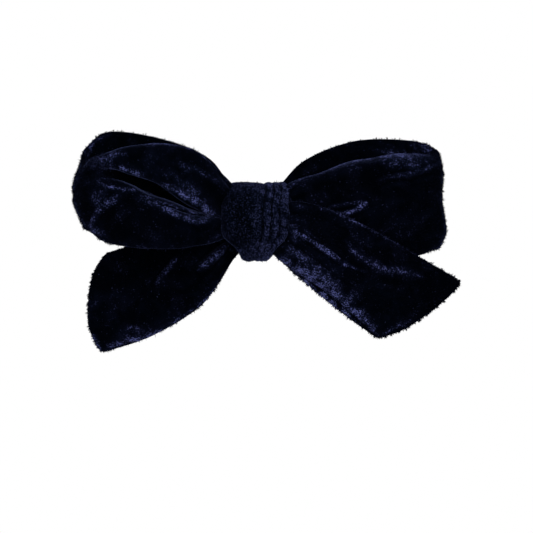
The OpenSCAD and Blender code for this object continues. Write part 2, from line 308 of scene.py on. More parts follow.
class Shader:
    """A node material with short calls for what the pieces need."""

    def __init__(self, name):
        self.material = bpy.data.materials.new(name)
        self.material.use_nodes = True
        self.tree = self.material.node_tree
        self.shader = self.tree.nodes["Principled BSDF"]
        self.place = self.add("ShaderNodeTexCoord").outputs["Object"]

    def add(self, kind, **values):
        node = self.tree.nodes.new(kind)
        for key, value in values.items():
            setattr(node, key, value)
        return node

    def link(self, a, b):
        self.tree.links.new(a, b)

    def set(self, **values):
        for key, value in values.items():
            self.shader.inputs[key.replace("_", " ")].default_value = value

    def stretched(self, scale):
        mapping = self.add("ShaderNodeMapping")
        mapping.inputs["Scale"].default_value = scale
        self.link(self.place, mapping.inputs["Vector"])
        return mapping.outputs["Vector"]

    def noise(self, size_mm, detail=3.0, rough=0.55, distortion=0.0, stretch=(1, 1, 1)):
        made = self.add("ShaderNodeTexNoise")
        self.link(self.stretched(stretch), made.inputs["Vector"])
        made.inputs["Scale"].default_value = 1 / (size_mm * MM)
        made.inputs["Detail"].default_value = detail
        made.inputs["Roughness"].default_value = rough
        made.inputs["Distortion"].default_value = distortion
        return made.outputs["Fac"]

    def wave(self, period_mm, direction="X", distortion=0.0):
        made = self.add("ShaderNodeTexWave", bands_direction=direction)
        self.link(self.place, made.inputs["Vector"])
        made.inputs["Scale"].default_value = 0.314 / (period_mm * MM)
        made.inputs["Distortion"].default_value = distortion
        made.inputs["Detail"].default_value = 1.0
        return made.outputs["Fac"]

    def curve(self, fac, low, high, to_low=0.0, to_high=1.0):
        made = self.add("ShaderNodeMapRange", interpolation_type="SMOOTHSTEP")
        for socket, value in (("From Min", low), ("From Max", high), ("To Min", to_low),
                              ("To Max", to_high)):
            made.inputs[socket].default_value = value
        self.link(fac, made.inputs["Value"])
        return made.outputs["Result"]

    def ramp(self, fac, stops):
        made = self.add("ShaderNodeValToRGB")
        items = made.color_ramp.elements
        while len(items) < len(stops):
            items.new(0.5)
        for item, (place, colour) in zip(items, stops):
            item.position = place
            item.color = (*colour, 1)
        self.link(fac, made.inputs["Fac"])
        return made.outputs["Color"]

    def mix(self, fac, a, b, blend="MIX"):
        made = self.add("ShaderNodeMix", data_type="RGBA", blend_type=blend)
        sockets = [s for s in made.inputs if s.enabled]
        for socket, value in zip(sockets, (fac, a, b)):
            if isinstance(value, bpy.types.NodeSocket):
                self.link(value, socket)
            else:
                socket.default_value = value if isinstance(value, float) else (*value, 1)
        return [s for s in made.outputs if s.enabled][0]

    def attribute(self, name):
        return self.add("ShaderNodeAttribute", attribute_name=name).outputs["Fac"]

    def math(self, operation, a, b):
        made = self.add("ShaderNodeMath", operation=operation)
        for socket, value in zip(made.inputs, (a, b)):
            if isinstance(value, bpy.types.NodeSocket):
                self.link(value, socket)
            else:
                socket.default_value = value
        return made.outputs["Value"]

    def bump(self, *layers):
        """Bump from (height socket, depth in mm, strength) layers, stacked."""
        last = None
        for height, depth, strength in layers:
            made = self.add("ShaderNodeBump")
            made.inputs["Distance"].default_value = depth * MM
            made.inputs["Strength"].default_value = strength
            self.link(height, made.inputs["Height"])
            if last:
                self.link(last, made.inputs["Normal"])
            last = made.outputs["Normal"]
        self.link(last, self.shader.inputs["Normal"])


def velvet(name, half_sheen_colour=(0.0020, 0.0026, 0.0072), painted_sheen_colour=(0.029, 0.033, 0.092), low=0.95, high=1.55):
    """Crushed navy velvet: black, with blue flecks of painted sheen where the painted-light attribute is high.
    """
    s = Shader(name)
    crush_and_painted_light = s.attribute("crush_and_painted_light")
    fine = s.noise(0.50, 1.4, 0.85, 0.2)
    coarse = s.noise(1.5, 3.0, 0.65, 0.5)
    grain = s.math("ADD", s.math("MULTIPLY", s.curve(fine, 0.42, 0.62), 0.78),
                   s.math("MULTIPLY", s.curve(coarse, 0.34, 0.66), 0.22))
    # Painted sheen: grain plus the painted-light attribute, past a threshold, gives the flecks of lit colour.
    lit = s.curve(s.math("ADD", grain, s.math("MULTIPLY", crush_and_painted_light, 0.85)), low, high)
    patches = s.curve(s.noise(7.0, 4.0, 0.6, 0.8), 0.45, 0.68)
    ground = s.ramp(patches, [(0.0, (0.0001, 0.0002, 0.0005)), (1.0, (0.0002, 0.0004, 0.0011))])
    # A painted half-lit tone, mixed into the ground by the painted-light attribute.
    ground_with_half_sheen = s.mix(crush_and_painted_light, ground, half_sheen_colour)
    specks = s.curve(s.noise(0.6, 1.0, 0.5), 0.72, 0.80, 0.0, 0.4)
    # Painted sheen colour over the dark ground; the specks are lint.
    s.link(s.mix(specks, s.mix(lit, ground_with_half_sheen, painted_sheen_colour), (0.018, 0.021, 0.050)), s.shader.inputs["Base Color"])
    s.link(s.curve(fine, 0.3, 0.7, 0.95, 0.75), s.shader.inputs["Roughness"])
    s.set(Specular_IOR_Level=0.0, Sheen_Weight=1.0, Sheen_Roughness=0.30,
          Sheen_Tint=(0.025, 0.031, 0.074, 1))
    crush = s.math("MULTIPLY", s.noise(1.5, 4.0, 0.65, 0.4), s.curve(patches, 0.0, 1.0, 0.45, 1.0))
    s.bump((s.noise(4.5, 3.0, 0.55, 0.5), 0.5, 0.4), (crush, 0.4, 0.8), (fine, 0.16, 0.9))
    return s.material


def pile_material():
    """Single fibres of the pile: dark, and lighter with painted sheen where the painted-light attribute is
    high.
    """
    s = Shader("velvet_pile")
    tone = s.curve(s.noise(0.7, 2.0), 0.42, 0.66)
    # Painted sheen carried onto the fibres, broken up by random tone.
    light = s.math("MULTIPLY", tone, s.curve(s.attribute("crush_and_painted_light"), 0.0, 1.0, 0.03, 1.0))
    s.link(s.mix(light, (0.0003, 0.0004, 0.0012), (0.027, 0.032, 0.088)), s.shader.inputs["Base Color"])
    s.set(Roughness=0.8, Specular_IOR_Level=0.0, Sheen_Weight=0.03, Sheen_Roughness=0.3,
          Sheen_Tint=(0.12, 0.14, 0.30, 1))
    s.bump((s.noise(0.3), 0.05, 0.3))
    return s.material


def thread_material():
    s = Shader("sewing_thread")
    ply = s.noise(0.25, 2.0, 0.6, 0.8)
    s.link(s.ramp(ply, [(0.3, (0.005, 0.006, 0.018)), (0.7, (0.022, 0.026, 0.060))]),
           s.shader.inputs["Base Color"])
    s.link(s.curve(ply, 0.3, 0.7, 0.75, 0.5), s.shader.inputs["Roughness"])
    s.set(Specular_IOR_Level=0.2, Sheen_Weight=0.06, Sheen_Tint=(0.6, 0.65, 1, 1))
    s.bump((ply, 0.06, 0.6))
    return s.material


def felt_material():
    s = Shader("navy_felt")
    mat = s.noise(1.6, 5.0, 0.7, 1.2)
    fibre = s.noise(0.35, 3.0, 0.7, 2.0, (1, 1, 0.35))
    ground = s.ramp(mat, [(0.3, (0.006, 0.007, 0.017)), (0.7, (0.016, 0.018, 0.040))])
    s.link(s.mix(s.curve(fibre, 0.55, 0.75, 0.0, 0.7), ground, (0.035, 0.038, 0.068)),
           s.shader.inputs["Base Color"])
    s.link(s.curve(fibre, 0.3, 0.7, 1.0, 0.85), s.shader.inputs["Roughness"])
    s.set(Specular_IOR_Level=0.04, Sheen_Weight=0.10, Sheen_Roughness=0.5, Sheen_Tint=(0.5, 0.55, 0.8, 1))
    s.bump((mat, 0.35, 0.5), (fibre, 0.12, 0.7))
    return s.material


def ribbon_material():
    """Grosgrain: fine ribs across the ribbon."""
    s = Shader("grosgrain_ribbon")
    ribs = s.wave(0.55, "X", 0.15)
    weave = s.noise(0.22, 2.0, 0.6, 0.0, (1, 1, 0.3))
    ground = s.ramp(ribs, [(0.1, (0.004, 0.005, 0.016)), (0.9, (0.016, 0.020, 0.056))])
    s.link(s.mix(s.curve(weave, 0.5, 0.75, 0.0, 0.5), ground, (0.030, 0.035, 0.085)),
           s.shader.inputs["Base Color"])
    s.link(s.curve(ribs, 0.0, 1.0, 0.62, 0.40), s.shader.inputs["Roughness"])
    s.set(Specular_IOR_Level=0.25, Sheen_Weight=0.05, Sheen_Tint=(0.5, 0.6, 1, 1))
    s.bump((ribs, 0.16, 0.9), (weave, 0.05, 0.4))
    return s.material


def silicone_material():
    s = Shader("clear_silicone")
    cloud = s.noise(2.5, 2.0)
    s.link(s.ramp(cloud, [(0.3, (0.66, 0.68, 0.70)), (0.7, (0.80, 0.81, 0.82))]),
           s.shader.inputs["Base Color"])
    s.link(s.curve(s.noise(0.8), 0.3, 0.7, 0.28, 0.42), s.shader.inputs["Roughness"])
    s.set(IOR=1.41, Transmission_Weight=0.35, Subsurface_Weight=0.2)
    s.bump((s.noise(0.6, 2.0), 0.03, 0.4))
    return s.material


def steel_material(name, colour, rough, grain=(0.04, 1, 1)):
    """Plated steel with a faint lengthwise grain, small scratches and duller patches."""
    s = Shader(name)
    patches = s.noise(5.0, 4.0, 0.6)
    lines = s.noise(0.25, 3.0, 0.6, 0.0, grain)
    scratches = s.curve(s.noise(0.5, 2.0, 0.5, 0.0, (0.08, 1, 0.6)), 0.66, 0.74)
    dull = tuple(0.86 * c for c in colour)
    s.link(s.mix(s.curve(patches, 0.35, 0.75), colour, dull), s.shader.inputs["Base Color"])
    wear = s.math("ADD", s.curve(patches, 0.3, 0.75, rough, rough + 0.14), s.math("MULTIPLY", scratches, 0.10))
    s.link(wear, s.shader.inputs["Roughness"])
    s.set(Metallic=1.0)
    s.bump((lines, 0.015, 0.35), (scratches, 0.01, 0.4))
    return s.material


def plain_material(name, colour, rough):
    s = Shader(name)
    s.set(Base_Color=(*colour, 1), Roughness=rough, Specular_IOR_Level=0.1)
    return s.material


NAVY = velvet("navy_velvet")
# The knot's velvet: the same cloth with dimmer painted sheen colours and thresholds.
NAVY_DIM_SHEEN = velvet("navy_velvet_dim_painted_sheen", (0.0014, 0.0021, 0.0066), (0.014, 0.016, 0.042), 0.66, 1.56)
PILE = pile_material()
THREAD = thread_material()
FELT = felt_material()
RIBBON = ribbon_material()
SILICONE = silicone_material()
NICKEL = steel_material("nickel_plate", (0.36, 0.355, 0.345), 0.22)
PIN = steel_material("turned_pin", (0.50, 0.49, 0.47), 0.16, (1, 1, 0.05))
WIRE = steel_material("spring_wire", (0.25, 0.245, 0.24), 0.28)

# ---------------------------------------------------------------- pile


def pile(name, points, normals, length, crush_and_painted_light=None, jitter=0.35, thick=0.13, lean=(0, 0, -0.15),
         material=PILE):
    """Fibres of velvet standing on points: thin closed cones, each leaning its own way."""
    count = len(points)
    tuft = np.array([noise.noise_vector(Vector(p) / 0.9) for p in points])
    clump = np.array([noise.noise(Vector(p) / 0.55) for p in points])[:, None]
    aim = unit(normals + rng.normal(0, jitter, (count, 3)) + 0.8 * tuft + np.array(lean))
    side = unit(np.cross(aim, rng.normal(0, 1, (count, 3))))
    other = np.cross(aim, side)
    tall = length * rng.uniform(0.5, 1.1, (count, 1)) * np.clip(0.8 + 1.6 * clump, 0.2, 1.8)
    root = points - aim * 0.25
    bend = unit(aim + rng.normal(0, 0.25, (count, 3)))
    ring = [root + thick * (math.cos(a) * side + math.sin(a) * other) for a in (0, 2.094, 4.189)]
    tip = root + (aim + bend) * tall * 0.5
    corners = np.stack([*ring, tip], axis=1).reshape(-1, 3)
    pattern = [(0, 2, 1), (0, 1, 3), (1, 2, 3), (2, 0, 3)]
    faces = (np.arange(count)[:, None, None] * 4 + np.array(pattern)[None]).reshape(-1, 3)
    fibres = mesh_object(name, corners, faces, material)
    if crush_and_painted_light is not None:
        attribute = fibres.data.attributes.new("crush_and_painted_light", "FLOAT", "POINT")
        attribute.data.foreach_set("value", np.repeat(crush_and_painted_light, 4).astype(np.float32))
    return fibres


def scatter(grid, half, ring, crush_and_painted_light, edges, surface):
    """Places, directions and painted-light values for fibres: along a sheet's edges, and over both of its
    faces.
    """
    m, n = grid.shape[:2]
    normal = grid_normals(grid, ring)
    down, out = unit(np.gradient(grid, axis=0)), unit(np.gradient(grid, axis=1))
    places, aims, shades = [], [], []
    sides = [(0, None, -1), (m - 1, None, 1)] + ([] if ring else [(None, 0, -1), (None, n - 1, 1)])
    for row, column, sign in sides:
        count = edges if column is None else edges // 3
        i = np.full(count, row) if column is None else rng.integers(0, m, count)
        j = rng.integers(0, n, count) if column is None else np.full(count, column)
        spread = rng.uniform(-1, 1, (count, 1))
        places.append(grid[i, j] + normal[i, j] * spread * 0.3)
        aims.append((down if column is None else out)[i, j] * sign + normal[i, j] * spread * 1.2)
        shades.append(crush_and_painted_light[i, j])
    middle = np.where(np.abs(grid[..., :1]) > KNOT_W / 2, np.sign(grid[..., :1]) * 30, 0)
    away = grid * [1, 1, 0] - np.concatenate([middle, np.full_like(middle, KNOT_Y), 0 * middle], axis=2)
    outward = np.sign((normal * away).sum(axis=2))
    i, j = rng.integers(2, m - 2, 4 * surface), rng.integers(0, n, 4 * surface)
    rank = rng.uniform(0, 1, len(i)) * (1 + 3 * smooth_step((np.abs(grid[i, j, 0]) - 44) / 8))
    best = np.argsort(-rank)[:surface]
    i, j = i[best], j[best]
    sign = np.where(rng.uniform(0, 1, surface) < 0.85, outward[i, j], -outward[i, j])[:, None]
    places.append(grid[i, j] + normal[i, j] * sign * half[i, j][:, None])
    aims.append(normal[i, j] * sign)
    shades.append(crush_and_painted_light[i, j])
    return np.concatenate(places), np.concatenate(aims), np.concatenate(shades)


# ---------------------------------------------------------------- the loops

# Each pleat line of a loop: its share of the reach, its shares of the depth in the middle and near
# the fold, then its height at the knot, shoulder, middle, outer part and fold, and back at the
# outer part, middle, shoulder and knot.
LEFT_PLEATS = [
    [0.940, 0.62, 0.62, [8.4, 17.6, 21.8, 21.0, 18.6, 28.6, 26.4, 20.2, 8.6]],
    [0.970, 0.86, 0.84, [7.6, 20.0, 23.2, 20.4, 14.2, 21.0, 20.8, 16.2, 7.4]],
    [0.985, 0.98, 0.95, [4.8, 13.0, 19.8, 19.4, 12.2, 16.0, 16.4, 12.8, 5.8]],
    [0.990, 0.98, 0.96, [0.6, 4.1, 12.7, 17.2, 10.4, 12.4, 12.6, 9.8, 4.6]],
    [0.990, 0.58, 0.91, [0.4, 4.5, 13.1, 15.8, 8.8, 10.2, 10.2, 7.8, 3.6]],
    [0.990, 0.56, 0.90, [-0.2, 1.4, 7.6, 13.2, 7.0, 7.4, 7.0, 5.2, 2.4]],
    [0.985, 0.90, 0.91, [-0.6, 0.6, 5.7, 11.0, 5.0, 4.6, 4.0, 2.8, 1.2]],
    [0.960, 0.97, 0.90, [-2.4, -4.2, -2.4, 2.0, 0.8, 0.4, 0.0, -0.2, -0.8]],
    [0.930, 0.80, 0.76, [-4.4, -8.4, -9.8, -7.9, -3.4, -4.0, -4.0, -3.4, -3.0]]]
RIGHT_PLEATS = [
    [0.955, 0.56, 0.56, [8.4, 13.2, 18.4, 20.9, 20.6, 25.7, 25.6, 19.2, 8.6]],
    [0.965, 0.74, 0.70, [7.0, 11.6, 16.4, 18.6, 18.2, 20.5, 20.3, 15.2, 7.2]],
    [0.975, 0.70, 0.68, [5.4, 9.2, 13.2, 15.0, 14.4, 16.2, 16.2, 12.2, 6.2]],
    [0.975, 0.67, 0.66, [3.8, 6.2, 9.8, 11.2, 10.8, 12.4, 12.4, 9.4, 5.0]],
    [0.975, 0.65, 0.65, [2.4, 3.6, 6.4, 7.6, 7.2, 8.6, 8.6, 6.6, 3.6]],
    [0.975, 0.63, 0.64, [1.2, 0.8, 2.8, 3.6, 3.6, 4.8, 4.8, 3.8, 2.0]],
    [0.980, 0.60, 0.62, [-0.4, -2.4, -1.4, -1.0, -0.4, 0.6, 0.8, 1.2, 0.6]],
    [0.992, 0.54, 0.58, [-2.2, -5.4, -6.4, -6.6, -5.0, -4.2, -3.8, -1.8, -1.0]],
    [0.955, 0.46, 0.52, [-4.4, -8.2, -11.4, -12.2, -9.8, -9.6, -8.2, -5.0, -3.0]]]
REACH_SHARES = [0.10, 0.30, 0.56, 0.86, 0.985, 0.985, 0.86, 0.56, 0.28, 0.11]


def pleat_line(pleat, reach, side):
    """A pleat line from the knot, round its loop and back to the knot."""
    share, middle, near_fold, z = pleat
    front = FRONT_IN - LOOP_DEPTH * middle
    outer = OUTER_IN - LOOP_DEPTH * near_fold
    root = 1.2 + 2.2 * math.sqrt(max(0, 1 - ((z[0] - 2) / 8.4) ** 2))
    puff = -1 if side < 0 else 0.6
    depth = [KNOT_Y - root, (front + KNOT_Y - root) / 2 + puff, front, outer,
             0.68 * outer + 0.32 * HAIR_SIDE, 0.20 * outer + 0.80 * HAIR_SIDE,
             HAIR_SIDE + 0.4, HAIR_SIDE, (HAIR_SIDE + KNOT_Y + root) / 2 + 0.6, KNOT_Y + root]
    z = z[:5] + [(z[4] + z[5]) / 2] + z[5:]
    return [[side * reach * share * s, y, h] for s, y, h in zip(REACH_SHARES, depth, z)]


# Folds of the loops' front: a path of (x, z) points, its width and its height.
LOOP_FOLDS = [
    ([(-42.6, 7.6), (-46.5, 4.9), (-50, 2.0), (-52.4, -2.4)], 0.8, 0.9),
    ([(-41.0, 5.0), (-44.6, 2.4), (-48, -1.0)], 1.3, -0.9),
    ([(-14.6, -0.9), (-20, -0.6), (-25, 1.2), (-31, 3.6)], 0.6, 0.6),
    ([(-15.2, 0.1), (-19.8, 0.9), (-25, 2.6), (-29, 4.0)], 0.35, -0.9),
    ([(-10, 10), (-15, 13.4), (-19.8, 15.9), (-27, 18)], 0.6, 0.5),
    ([(12, 2.2), (21, 2.2), (28.3, 1.3), (32.8, 2.9), (37, 4.4)], 0.7, 0.5),
    ([(24, -0.4), (30, 0.2), (36, 2.6)], 1.0, -0.5),
    ([(24, 3.6), (29, 4.4), (35, 5.5)], 0.6, 0.4),
    ([(39, 12.3), (45.8, 14.0), (51.5, 14.7), (60, 18)], 0.7, 0.6),
    ([(40, 11.0), (46, 12.4), (52, 13.0), (58, 15.4)], 0.9, -0.5)]
# Painted highlights along the loops' folds and rims, and painted shade where the strength is below 0: a path,
# its reach above and below it, and its strength.
LOOP_PAINTED_LIGHT = [
    ([(-12.8, 0.0), (-16.6, 3.4), (-21.1, 6.3), (-25, 8.6), (-29.4, 11.2)], 1.9, 0.4, 1.0),
    ([(-26, 9.6), (-33.5, 12.8), (-38.7, 15.1), (-43.9, 16.7), (-49.4, 16.6)], 0.8, 0.5, 0.8),
    ([(-17, 7.4), (-24, 12.2), (-32, 15.4)], 2.6, 1.4, 0.30),
    ([(-13.0, 0.2), (-16.6, 0.6), (-21.1, 2.0), (-28.9, 4.4), (-38.7, 8.0)], 0.4, 0.6, 0.75),
    ([(-15.4, -0.7), (-19.8, -1.0), (-25, 1.0), (-28.9, 2.9), (-39.3, 6.8)], 1.1, 1.1, 0.55),
    ([(-15.2, 0.1), (-19.8, 0.9), (-25, 2.6), (-29, 4.0)], 0.35, 0.35, -1.0),
    ([(-36, 8.2), (-42.6, 9.4), (-47.1, 10.4), (-50.4, 12.2)], 0.5, 0.7, 0.7),
    ([(-42.6, 7.6), (-46.5, 4.9), (-50, 2.0), (-52.6, -2.6)], 0.7, 0.5, 0.9),
    ([(-46.8, 9.6), (-49.4, 6.8), (-51.4, 4.0)], 3.0, 2.2, 0.42),
    ([(-53, -2), (-50.6, -4.2), (-47, -5.4)], 2.2, 1.4, 0.5),
    ([(-56.6, 14), (-58.4, 9), (-58, 4)], 1.0, 1.2, 0.5),
    ([(-53, 16.4), (-46.6, 19.4), (-40, 20.4)], 1.8, 2.4, 0.34),
    ([(-36, 22.6), (-28, 23.4), (-19.8, 21.6)], 0.8, 0.6, 0.7),
    ([(-10, 10), (-15, 13.4), (-19.8, 15.9), (-27, 18)], 0.5, 0.5, 0.42),
    ([(-50, -6.4), (-44, -8.4), (-36, -9.4), (-20, -9.2), (-11, -8.2)], 1.4, 1.0, 0.22),
    ([(10.5, 8.8), (15, 12.4), (23.1, 15.4), (31.2, 17.8), (39.3, 19.3)], 0.6, 1.0, 0.95),
    ([(36, 18.8), (46, 20.2), (52, 20.8), (58.4, 21)], 0.6, 1.7, 0.9),
    ([(44, 17.8), (51, 17.4), (59, 18.6)], 1.4, 1.4, 0.26),
    ([(42, 13.2), (48, 14.6), (53, 15.4), (60, 18)], 0.8, 0.5, 0.32),
    ([(26, 1.2), (31, 2.1), (35.6, 4.2)], 0.6, 0.4, 0.6),
    ([(33, 3.4), (35.4, 4.6), (37, 5.4)], 1.1, 0.8, 0.8),
    ([(24, 3.8), (29, 4.6), (34, 5.6)], 0.4, 0.3, 0.25),
    ([(11, 1.8), (16, 3.0), (22, 3.2)], 1.2, 0.8, 0.30),
    ([(61, 16), (61.2, 8), (61.2, 2), (62, -5)], 1.0, 1.0, 0.36),
    ([(62, -4), (60.8, -7.8), (57, -10.6)], 1.4, 1.4, 0.44)]
# The opening between the left loop's two fronts, painted dark as shade.
HOLLOW_PAINTED_SHADE = [(-15.4, 1.1), (-18, 2.6), (-22, 4.7), (-26, 6.6), (-31, 9.0), (-37, 11.6), (-48.5, 14.4)]
# The same painted highlights for the loops' back layers, which show above the front ones.
BACK_PAINTED_HIGHLIGHTS = [
    ([(-55, 18), (-54.4, 22.6), (-51, 26.4), (-46, 28)], 1.4, 1.4, 0.42),
    ([(50, 24.6), (56, 23.6), (59, 20.4)], 2.2, 2.6, 0.55),
    ([(38, 23.0), (44, 22.0), (50, 22.2)], 1.2, 1.2, 0.4)]


def loop_grid():
    """The loops' middle surface with its folds, and its painted light: highlights along folds and rims, painted
    shade in the opening, over faint random patches.
    """
    rails = [pleat_line(a, LEFT_REACH, -1) + pleat_line(b, RIGHT_REACH, 1)[::-1]
             for a, b in zip(LEFT_PLEATS, RIGHT_PLEATS)]
    columns = np.arange(440) / 440
    grid = loft(rails, rows_for(100), columns, True)
    normal = grid_normals(grid, True)
    rail = 20 * columns
    front = np.maximum(1 - smooth_step((rail - 4.2) / 0.6), smooth_step((rail - 14.2) / 0.6))[None]
    for path, width, height in LOOP_FOLDS:
        grid = stroke(grid, normal, front, path, width, height)
    grid = gathers(grid, normal, 7.0, 7.0, 0.45, 0.8)
    grid = crumple(grid, normal, 10.0, 0.8, 1)
    grid = crumple(grid, normal, 3.6, 0.22, 2)
    grid = curl(grid, front, 0, 2.2, 0.9)
    crush_and_painted_light = open_patches(grid, 1)
    for path, over, under, strength in LOOP_PAINTED_LIGHT:
        crush_and_painted_light = painted_band(crush_and_painted_light, grid, front, path, over, under, strength)
    # Painted shade in the opening between the two fronts.
    crush_and_painted_light = painted_band(crush_and_painted_light, grid, front, HOLLOW_PAINTED_SHADE, 1.5, 1.5, -1.2)
    for path, over, under, strength in BACK_PAINTED_HIGHLIGHTS:
        crush_and_painted_light = painted_band(crush_and_painted_light, grid, 1 - front, path, over, under, strength)
    return grid, crush_and_painted_light


def open_patches(grid, seed):
    """Faint uneven patches where crushed pile lies open."""
    shift = Vector((seed * 3.7, seed * 9.1, seed * 4.3))
    lift = np.array([noise.noise(Vector(p) / 6.5 + shift) + 0.5 * noise.noise(Vector(p) / 2.6 + shift)
                     for p in grid.reshape(-1, 3)])
    return 0.10 * smooth_step((lift.reshape(grid.shape[:2]) - 0.05) / 0.5)


# ---------------------------------------------------------------- the tails

# Lines along the tail strip, from its left end, behind and under the loops' bundle, to its right
# end. The edge that is on top at the left is at the bottom on the right.
TAIL_RAILS = [
    [[-48.6, -4.4, -11.2], [-37, -4.2, -8], [-22, -4.5, -5.5], [-9.5, -6.6, -3.6],
     [0, -7.8, -8.2], [5.4, -15.2, -10.9], [16.8, -18.2, -20.9], [28.6, -19, -30.4], [40.2, -17, -38.6]],
    [[-52.8, -4.4, -18], [-38, -5.4, -15], [-22, -6.5, -11], [-9, -7, -5.6],
     [0, -9.4, -8.6], [7.2, -16.4, -6.8], [21.4, -21.3, -14.4], [35.4, -21, -22.2], [47.6, -18, -36.2]],
    [[-54.2, -5, -26.4], [-37, -7, -23], [-20, -8.6, -16.6], [-8.4, -7.6, -7.6],
     [0, -11, -8.8], [8.6, -17, -2.8], [24, -20.6, -8], [40, -20.4, -15.5], [55, -17.6, -31.6]],
    [[-54.0, -5.4, -35], [-35, -7.2, -30.6], [-18, -8.6, -21.6], [-7.4, -8.2, -9.6],
     [0, -12.8, -8.6], [9.6, -17.2, 0.8], [25, -21.6, -3], [43, -21, -11], [62.2, -16.4, -26]],
    [[-50.6, -5, -43.6], [-33, -6.4, -37.6], [-16, -7.6, -26.6], [-6, -8.6, -11.4],
     [0, -14.2, -8.2], [10.4, -17, 4.8], [26.6, -20.6, 2.0], [46, -20, -8.2], [67.6, -15.4, -20.4]]]

# Folds of the tails: a path of (x, z) points, its width and its height.
TAIL_FOLDS = [
    ([(-8.0, -8.0), (-13.3, -12.7), (-18.4, -17)], 0.9, 0.9),
    ([(-10.5, -7.4), (-16, -12), (-21, -16.6)], 0.8, -0.8),
    ([(-7, -10.4), (-11.4, -16.4), (-16, -22)], 1.0, -0.7),
    ([(-24.4, -11.6), (-27.6, -15.9), (-32, -21)], 0.7, 0.7),
    ([(-27, -12.6), (-30, -17), (-34, -22)], 1.0, -0.6),
    ([(-24, -30), (-33, -34.4), (-44, -38)], 1.8, 0.7),
    ([(10.4, -3.0), (15.8, -5.6), (21.5, -9.3), (25.5, -12), (29, -14.5), (37, -16.8)], 0.6, 0.5),
    ([(10.4, -4.2), (15, -6.6), (20.6, -10.4), (25, -13.6)], 0.6, -0.5),
    ([(15, -2.2), (22, -5.0), (31.2, -10), (35.3, -13.3), (40.1, -15.6), (46, -16.8), (55, -19.2)], 2.0, 1.0),
    ([(30, -14.0), (36, -18), (43, -20), (52, -22.6)], 1.6, -1.0),
    ([(12, 1.6), (20, 0.4), (28, -2.6), (36, -6.6)], 1.3, -0.7),
    ([(9.4, -8.0), (17, -13.6), (25, -20.6), (33, -28)], 1.6, 0.9),
    ([(8.6, -6.4), (16, -11.4), (24, -17.4), (30, -22)], 1.2, -0.9)]
# A groove near the right tail's lower edge, between its upper layer and the one under it.
TAIL_GROOVE = [(6.4, -12.2), (12.5, -16.4), (18.2, -20.1), (24.3, -24.3), (31.2, -30.1), (38.0, -36.0)]
# Painted highlights on the tails' folds and edges: a path, its reach above and below it, and its strength.
TAIL_PAINTED_HIGHLIGHTS = [
    ([(-8.4, -8.4), (-13.3, -12.7), (-18.4, -17.0)], 0.8, 0.8, 0.6),
    ([(-25.2, -12.6), (-27.6, -15.9), (-32.4, -21.6)], 0.6, 0.7, 0.4),
    ([(-4.6, -12.6), (-7.9, -16.4), (-11.8, -21.9), (-17.6, -27.1), (-25.4, -32.2)], 0.9, 1.6, 0.7),
    ([(-24, -31.6), (-31, -36), (-38.7, -38.3), (-45.2, -40.4), (-51, -42.2)], 1.1, 2.0, 0.8),
    ([(-36, -36.4), (-40, -35.6), (-45, -38.6)], 1.4, 1.6, 0.40),
    ([(-52.8, -37), (-52.2, -40), (-50, -42)], 1.6, 1.6, 0.5),
    ([(10.5, -3.0), (15.8, -5.4), (21.5, -9.2), (25.5, -11.9), (31, -15.2)], 0.4, 0.35, 0.5),
    ([(20, -8.2), (24, -11.0), (27.4, -13.4)], 1.2, 0.5, 0.36),
    ([(26, -13.4), (31, -15.6), (37, -16.9)], 0.5, 0.5, 0.5),
    ([(14, -2.0), (18, -4.6), (22, -7.2)], 0.8, 0.8, 0.3),
    ([(29, -6.6), (32.4, -10.6), (36.6, -14.0), (41, -15.8)], 2.6, 1.2, 0.42),
    ([(37, -14.6), (42, -16.0), (47, -16.8), (54.6, -19.0)], 1.5, 1.2, 0.46),
    ([(10.4, 0.6), (12.6, -3.4), (14.6, -8.0)], 4.0, 4.0, 0.32),
    ([(5.0, -10.0), (12, -14.8), (18.2, -18.8), (24.7, -23.2), (31.2, -28.6), (37, -34.0), (40.6, -37.4)],
     2.4, 1.0, 1.0),
    ([(9, -9.0), (15, -12.4), (21, -17.2), (27, -22.6)], 2.6, 2.4, 0.36),
    ([(5.0, -12.4), (11.7, -17.1), (17.3, -20.9), (23.3, -25.2), (30.2, -31.0), (37.4, -37.4)], 1.2, 1.6, 1.2),
    ([(11.7, 4.4), (23.9, 2.4), (32.8, -1.6), (41, -5.8), (52.3, -11.6)], 0.7, 0.5, 0.6),
    ([(41, -37.4), (46, -35), (51, -32.4)], 1.0, 1.0, 0.4)]


def tail_grid():
    """The tails' middle surface with its folds, and its painted light: highlights along folds and edges,
    painted shade in the groove, over faint random patches.
    """
    grid = loft(TAIL_RAILS, *round_corners(rows_for(94), np.linspace(0, 1, 400), 0.10, 0.024), False)
    normal = grid_normals(grid, False)
    shown = smooth_step((np.abs(grid[..., 0]) - 3) / 3)
    for path, width, height in TAIL_FOLDS:
        grid = stroke(grid, normal, shown, path, width, height)
    grid = stroke(grid, normal, shown, TAIL_GROOVE, 0.5, -1.0)
    grid = gathers(grid, normal, 4.0, 7.0, 0.4, 0.3)
    grid = crumple(grid, normal, 10.0, 0.8, 3)
    grid = crumple(grid, normal, 3.8, 0.22, 4)
    crush_and_painted_light = open_patches(grid, 2)
    for path, over, under, strength in TAIL_PAINTED_HIGHLIGHTS:
        crush_and_painted_light = painted_band(crush_and_painted_light, grid, shown, path, over, under, strength)
    # Painted shade along the groove.
    crush_and_painted_light = painted_band(crush_and_painted_light, grid, shown, TAIL_GROOVE, 0.45, 0.45, -1.4)
    grid = curl(grid, smooth_step((grid[..., 0] - 12) / 10), 0, 3.6, 1.4)
    return curl(grid, smooth_step((-grid[..., 0] - 9) / 10), -1, 3.5, 2.2), crush_and_painted_light


# ---------------------------------------------------------------- the knot


